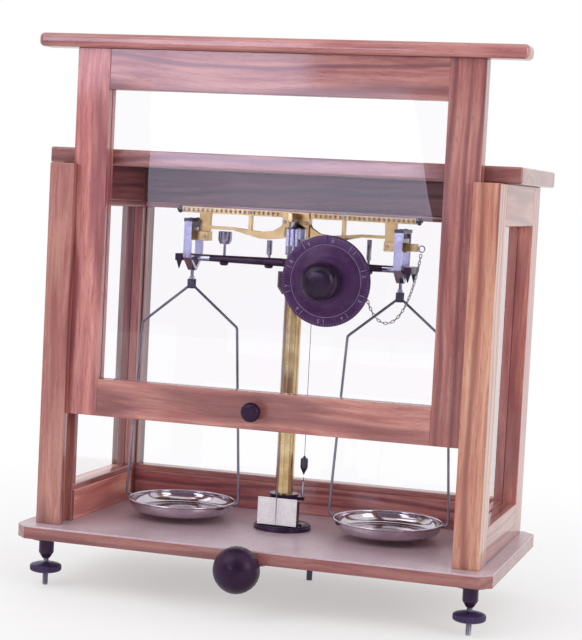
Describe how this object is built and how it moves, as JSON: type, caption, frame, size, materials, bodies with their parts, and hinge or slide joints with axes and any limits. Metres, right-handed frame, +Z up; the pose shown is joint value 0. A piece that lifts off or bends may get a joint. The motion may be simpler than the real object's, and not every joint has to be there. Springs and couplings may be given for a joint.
{
  "type": "analytical balance",
  "caption": "Two pan analytical balance with a chain dial, in a glazed wooden case with a raised front sash, on levelling feet.",
  "frame": {"origin": "middle of the object's footprint, on the table under the feet", "axes": "+Z up, -Y towards the user, +X to the user's right"},
  "size_m": [0.416, 0.242, 0.4701],
  "materials": {
    "teak": "varnished",
    "pale_facing": "gloss",
    "pane_glass": "clear",
    "black_knob": "gloss",
    "black_enamel": "gloss",
    "steel": "bright",
    "dark_steel": "satin",
    "nickel": "polished",
    "gilt_brass": "lacquered",
    "white_plate": "satin"
  },
  "bodies": {
    "case": {"base_board": "teak", "base_facing": "pale_facing", "front_left_post": "teak", "front_right_post": "teak", "rear_left_post": "teak", "rear_right_post": "teak", "left_bottom_rail": "teak", "right_bottom_rail": "teak", "back_bottom_rail": "teak", "left_top_rail": "teak", "right_top_rail": "teak", "back_top_rail": "teak", "top_board": "teak", "left_pane": "pane_glass", "right_pane": "pane_glass", "back_pane": "pane_glass", "glazing_beads": "teak", "foot_sockets": "black_enamel", "rear_foot": "dark_steel", "shaft_brackets": "dark_steel", "fixing_screws": "steel", "column": "gilt_brass", "column_collar": "black_enamel", "column_flange": "black_enamel", "scale_plate": "white_plate", "column_head": "nickel", "knife_planes": "dark_steel", "dial_bracket": "black_enamel"},
    "sash": {"sash_left_stile": "teak", "sash_right_stile": "teak", "sash_bottom_rail": "teak", "sash_top_rail": "teak", "sash_cap": "teak", "sash_pane": "pane_glass", "sash_knob": "black_knob"},
    "arrest_control": {"arrest_knob": "black_knob", "arrest_shaft": "steel"},
    "arrest": {"lifting_rod": "steel", "arrest_arm": "black_enamel", "arrest_pillars": "nickel"},
    "beam": {"beam": "gilt_brass", "knife_edges": "dark_steel", "poising_nuts": "dark_steel", "pointer": "gilt_brass", "chain_hook": "nickel", "chain": "nickel"},
    "left_stirrup": {"left_stirrup": "nickel"},
    "right_stirrup": {"right_stirrup": "nickel"},
    "left_hanger": {"left_bow": "nickel", "left_pan": "nickel"},
    "right_hanger": {"right_bow": "nickel", "right_pan": "nickel"},
    "dial": {"dial": "black_enamel", "dial_knob": "black_knob", "dial_drum": "gilt_brass"},
    "plumb": {"plumb_bob": "gilt_brass"},
    "left_screw": {"left_foot_screw": "steel"},
    "left_wheel": {"left_foot_wheel": "black_knob"},
    "right_screw": {"right_foot_screw": "steel"},
    "right_wheel": {"right_foot_wheel": "black_knob"}
  },
  "joints": [
    {"name": "sash_slide", "type": "slide", "parent": "case", "child": "sash", "axis": [0, 0, 1], "range_m": [-0.0946, 0.11]},
    {"name": "arrest_turn", "type": "hinge", "parent": "case", "child": "arrest_control", "pos_m": [0, -0.091, 0.03995], "axis": [0, 1, 0], "range_deg": [0, 90]},
    {"name": "arrest_lift", "type": "slide", "parent": "case", "child": "arrest", "axis": [0, 0, 1], "range_m": [-0.0025, 0]},
    {"name": "beam_tilt", "type": "hinge", "parent": "case", "child": "beam", "pos_m": [0, 0.017, 0.3165], "axis": [0, 1, 0], "range_deg": [-1.2, 1.2]},
    {"name": "left_stirrup_swing", "type": "hinge", "parent": "beam", "child": "left_stirrup", "pos_m": [-0.094, 0.017, 0.3165], "axis": [0, 1, 0], "range_deg": [-1.5, 1.5]},
    {"name": "right_stirrup_swing", "type": "hinge", "parent": "beam", "child": "right_stirrup", "pos_m": [0.094, 0.017, 0.3165], "axis": [0, 1, 0], "range_deg": [-1.5, 1.5]},
    {"name": "left_hanger_swing", "type": "hinge", "parent": "left_stirrup", "child": "left_hanger", "pos_m": [-0.094, 0.017, 0.2645], "axis": [0, 1, 0], "range_deg": [-2.5, 2.5]},
    {"name": "right_hanger_swing", "type": "hinge", "parent": "right_stirrup", "child": "right_hanger", "pos_m": [0.094, 0.017, 0.2645], "axis": [0, 1, 0], "range_deg": [-2.5, 2.5]},
    {"name": "dial_turn", "type": "hinge", "parent": "case", "child": "dial", "pos_m": [0.038, -0.019, 0.2735], "axis": [0, 1, 0], "range_deg": [-160, 160]},
    {"name": "plumb_swing", "type": "hinge", "parent": "case", "child": "plumb", "pos_m": [0.017, 0.017, 0.2605], "axis": [0, 1, 0], "range_deg": [-1, 1]},
    {"name": "left_screw_travel", "type": "slide", "parent": "case", "child": "left_screw", "axis": [0, 0, 1], "range_m": [-0.0025, 0.0025]},
    {"name": "left_wheel_turn", "type": "hinge", "parent": "left_screw", "child": "left_wheel", "pos_m": [-0.185, -0.066, 0.0155], "axis": [0, 0, 1], "range_deg": [-1125, 1125]},
    {"name": "right_screw_travel", "type": "slide", "parent": "case", "child": "right_screw", "axis": [0, 0, 1], "range_m": [-0.0025, 0.0025]},
    {"name": "right_wheel_turn", "type": "hinge", "parent": "right_screw", "child": "right_wheel", "pos_m": [0.185, -0.066, 0.0155], "axis": [0, 0, 1], "range_deg": [-1125, 1125]}
  ],
  "couplings": [
    {"joint": "arrest_turn", "follows": "arrest_lift", "rad_per_m": -628.32},
    {"joint": "left_wheel_turn", "follows": "left_screw_travel", "rad_per_m": 7854},
    {"joint": "right_wheel_turn", "follows": "right_screw_travel", "rad_per_m": 7854}
  ]
}
